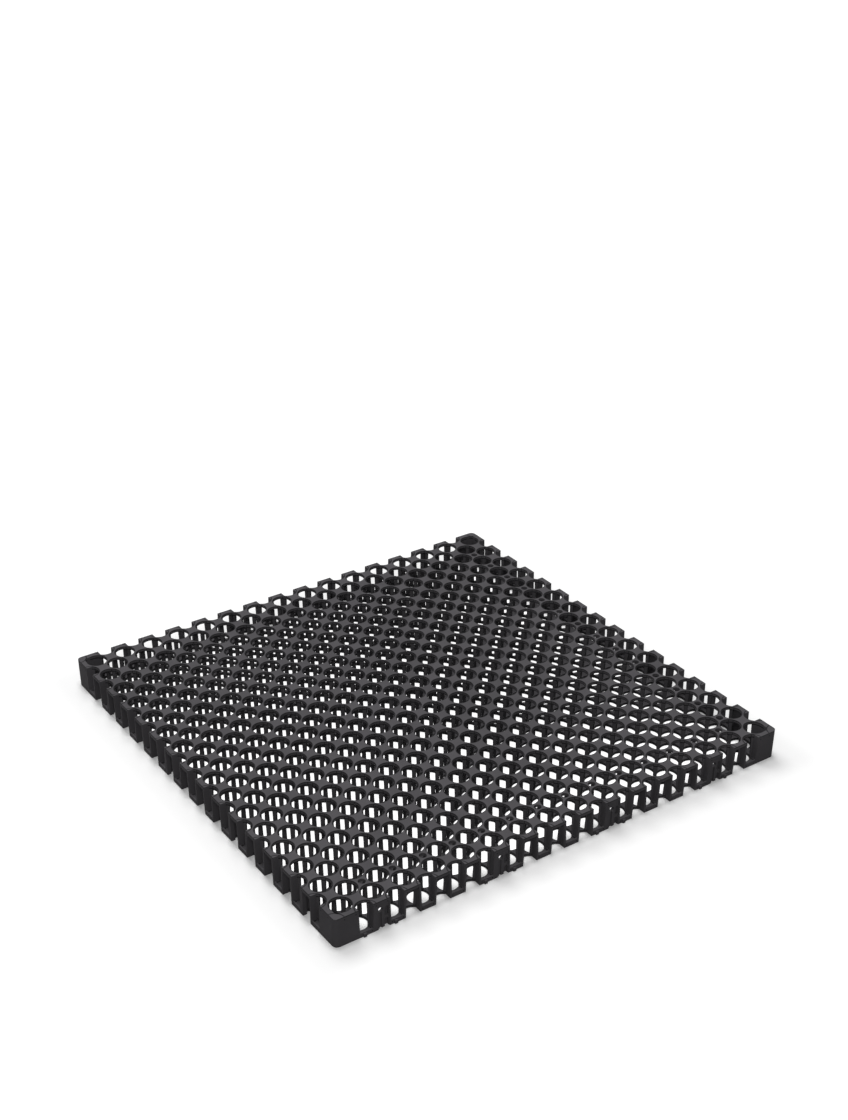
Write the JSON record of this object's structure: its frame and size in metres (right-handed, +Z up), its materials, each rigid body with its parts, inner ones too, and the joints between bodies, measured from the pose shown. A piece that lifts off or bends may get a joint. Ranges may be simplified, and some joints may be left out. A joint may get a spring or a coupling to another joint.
{
  "type": "drainage cell",
  "caption": "Square flat plastic drainage panel of two perforated plates held apart by slim pillars, with notched edges and couplings for its neighbours.",
  "frame": {"origin": "middle of the underside's 500 mm square, on the floor it lies on", "axes": "+Z up through the panel's thickness; X and Y along its edges, with the socket edges at -Y and +X"},
  "size_m": [0.5015, 0.5015, 0.03],
  "materials": {
    "black_plastic": "matt black moulded polypropylene"
  },
  "bodies": {
    "root": {"panel": "black_plastic"}
  },
  "joints": []
}
